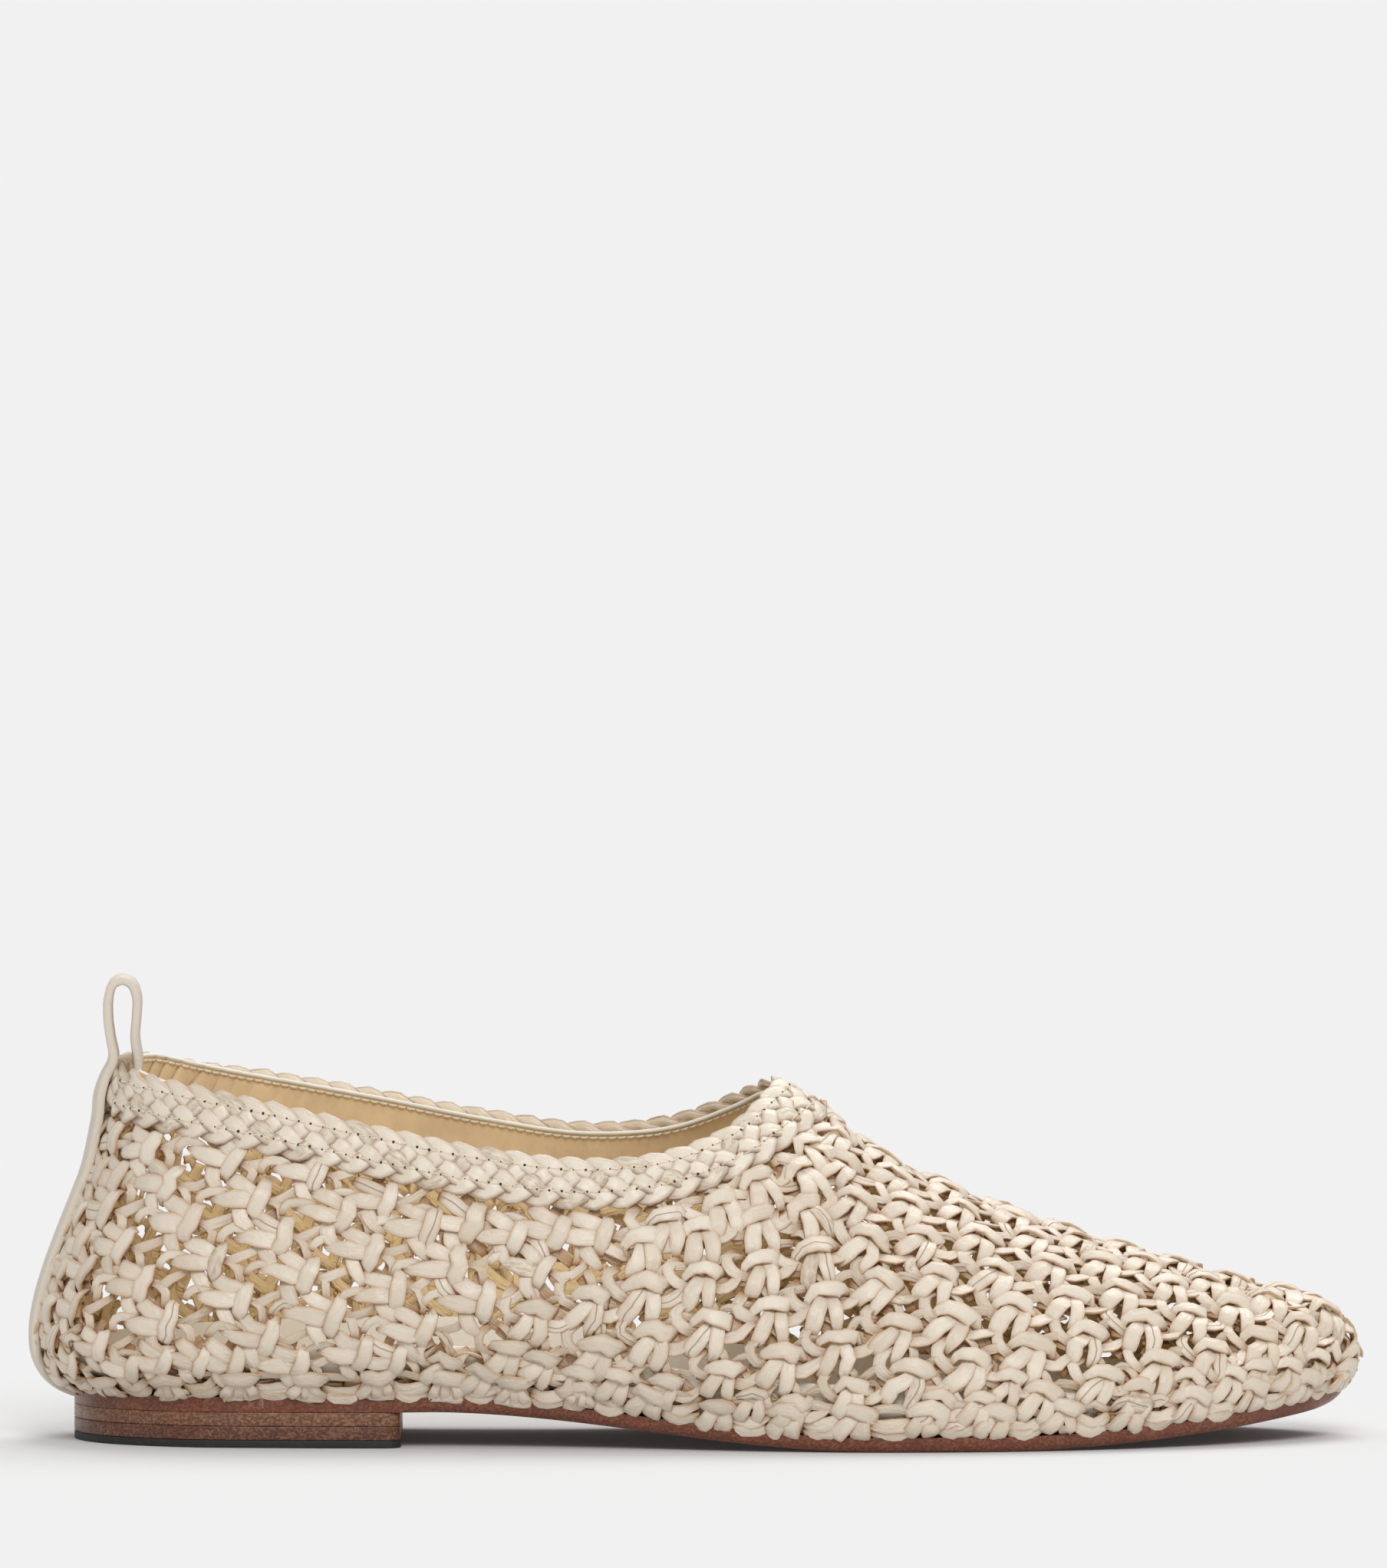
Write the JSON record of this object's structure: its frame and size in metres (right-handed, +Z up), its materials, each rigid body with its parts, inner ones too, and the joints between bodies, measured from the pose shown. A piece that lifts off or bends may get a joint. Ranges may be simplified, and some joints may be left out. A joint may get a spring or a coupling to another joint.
{
  "type": "woven leather ballet flat",
  "caption": "Right-foot ballet flat with a woven leather upper, plaited collar, folded heel pull loop, thin leather sole and low stacked heel.",
  "frame": {"origin": "on the floor under the middle of the shoe's box", "axes": "+X towards the toe, -Y towards the outer side of the foot, +Z up"},
  "size_m": [0.2502, 0.0818, 0.086],
  "materials": {
    "woven_leather": "soft satin, cream",
    "strip_leather": "soft satin, cream",
    "insole_leather": "matt, cream",
    "sole_leather": "burnished edge, brown",
    "lift_leather": "burnished speckled stack, brown",
    "heel_rubber": "matt black"
  },
  "bodies": {
    "root": {"heel_top_piece": "heel_rubber", "heel_lift_lower": "lift_leather", "heel_lift_upper": "lift_leather", "outsole": "sole_leather", "insole": "insole_leather", "upper": "woven_leather", "collar_plait": "woven_leather", "heel_strip_loop": "strip_leather"}
  },
  "joints": []
}
